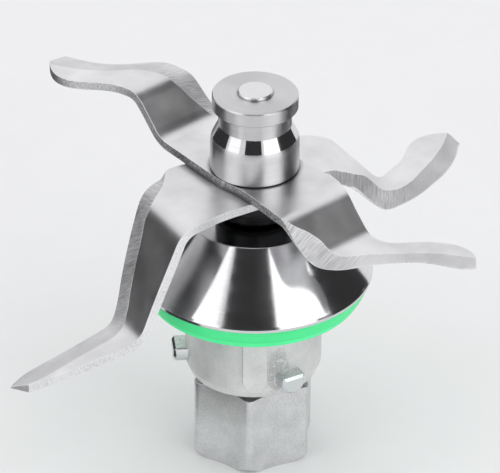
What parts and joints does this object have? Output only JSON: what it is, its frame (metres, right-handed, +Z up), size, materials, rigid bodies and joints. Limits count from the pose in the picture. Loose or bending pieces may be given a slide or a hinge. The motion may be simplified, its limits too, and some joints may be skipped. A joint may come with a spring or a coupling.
{
  "type": "blender blade assembly",
  "caption": "Stacked folded and ground blades on a shaft with a turned clamping knob, polished cone, seal ring, bearing housing with bayonet lugs and a star drive coupling.",
  "frame": {"origin": "on the shaft's axis, at the flat foot of the star coupling", "axes": "+Z up along the shaft's axis towards the knob, -Y towards the picture's camera, +X to its right"},
  "size_m": [0.1049, 0.0726, 0.0965],
  "materials": {
    "housing_casting": "bead-blasted casting",
    "polished_cover": "mirror-turned stainless steel",
    "seal_silicone": "smooth green silicone",
    "lug_steel": "ground steel",
    "bearing_steel": "ground bearing steel",
    "ball_steel": "polished",
    "cage_steel": "pressed sheet",
    "shield_steel": "pressed sheet",
    "spacer_steel": "turned",
    "circlip_steel": "phosphated spring steel",
    "seal_case_steel": "pressed sheet",
    "lip_rubber": "moulded",
    "spring_steel": "drawn wire",
    "shaft_steel": "ground",
    "knob_steel": "turned and satin finished",
    "blade_steel": "satin finished stainless sheet",
    "hub_steel": "turned",
    "coupling_steel": "tumbled sintered steel"
  },
  "bodies": {
    "housing": {"bearing_housing": "housing_casting", "cone_cover": "polished_cover", "seal_ring": "seal_silicone", "bayonet_lug_front": "lug_steel", "bayonet_lug_left": "lug_steel", "bayonet_lug_rear": "lug_steel", "upper_bearing_outer_ring": "bearing_steel", "lower_bearing_outer_ring": "bearing_steel", "upper_bearing_top_shield": "shield_steel", "upper_bearing_bottom_shield": "shield_steel", "lower_bearing_top_shield": "shield_steel", "lower_bearing_bottom_shield": "shield_steel", "outer_spacer": "spacer_steel", "housing_circlip": "circlip_steel", "lip_seal_case": "seal_case_steel", "lip_seal_lip": "lip_rubber", "lip_seal_spring": "spring_steel"},
    "rotor": {"drive_shaft": "shaft_steel", "grip_knob": "knob_steel", "upper_blade": "blade_steel", "lower_blade": "blade_steel", "blade_hub": "hub_steel", "inner_spacer": "spacer_steel", "upper_bearing_inner_ring": "bearing_steel", "lower_bearing_inner_ring": "bearing_steel", "star_coupling": "coupling_steel"},
    "upper_rollers": {"upper_bearing_balls": "ball_steel", "upper_bearing_cage": "cage_steel"},
    "lower_rollers": {"lower_bearing_balls": "ball_steel", "lower_bearing_cage": "cage_steel"}
  },
  "joints": [
    {"name": "shaft_spin", "type": "hinge", "parent": "housing", "child": "rotor", "pos_m": [0, 0, 0.05], "axis": [0, 0, 1], "continuous": true},
    {"name": "upper_rollers_spin", "type": "hinge", "parent": "housing", "child": "upper_rollers", "pos_m": [0, 0, 0.0538], "axis": [0, 0, 1], "continuous": true},
    {"name": "lower_rollers_spin", "type": "hinge", "parent": "housing", "child": "lower_rollers", "pos_m": [0, 0, 0.0281], "axis": [0, 0, 1], "continuous": true}
  ],
  "couplings": [
    {"joint": "upper_rollers_spin", "follows": "shaft_spin", "ratio": 0.3714},
    {"joint": "lower_rollers_spin", "follows": "shaft_spin", "ratio": 0.3714}
  ]
}
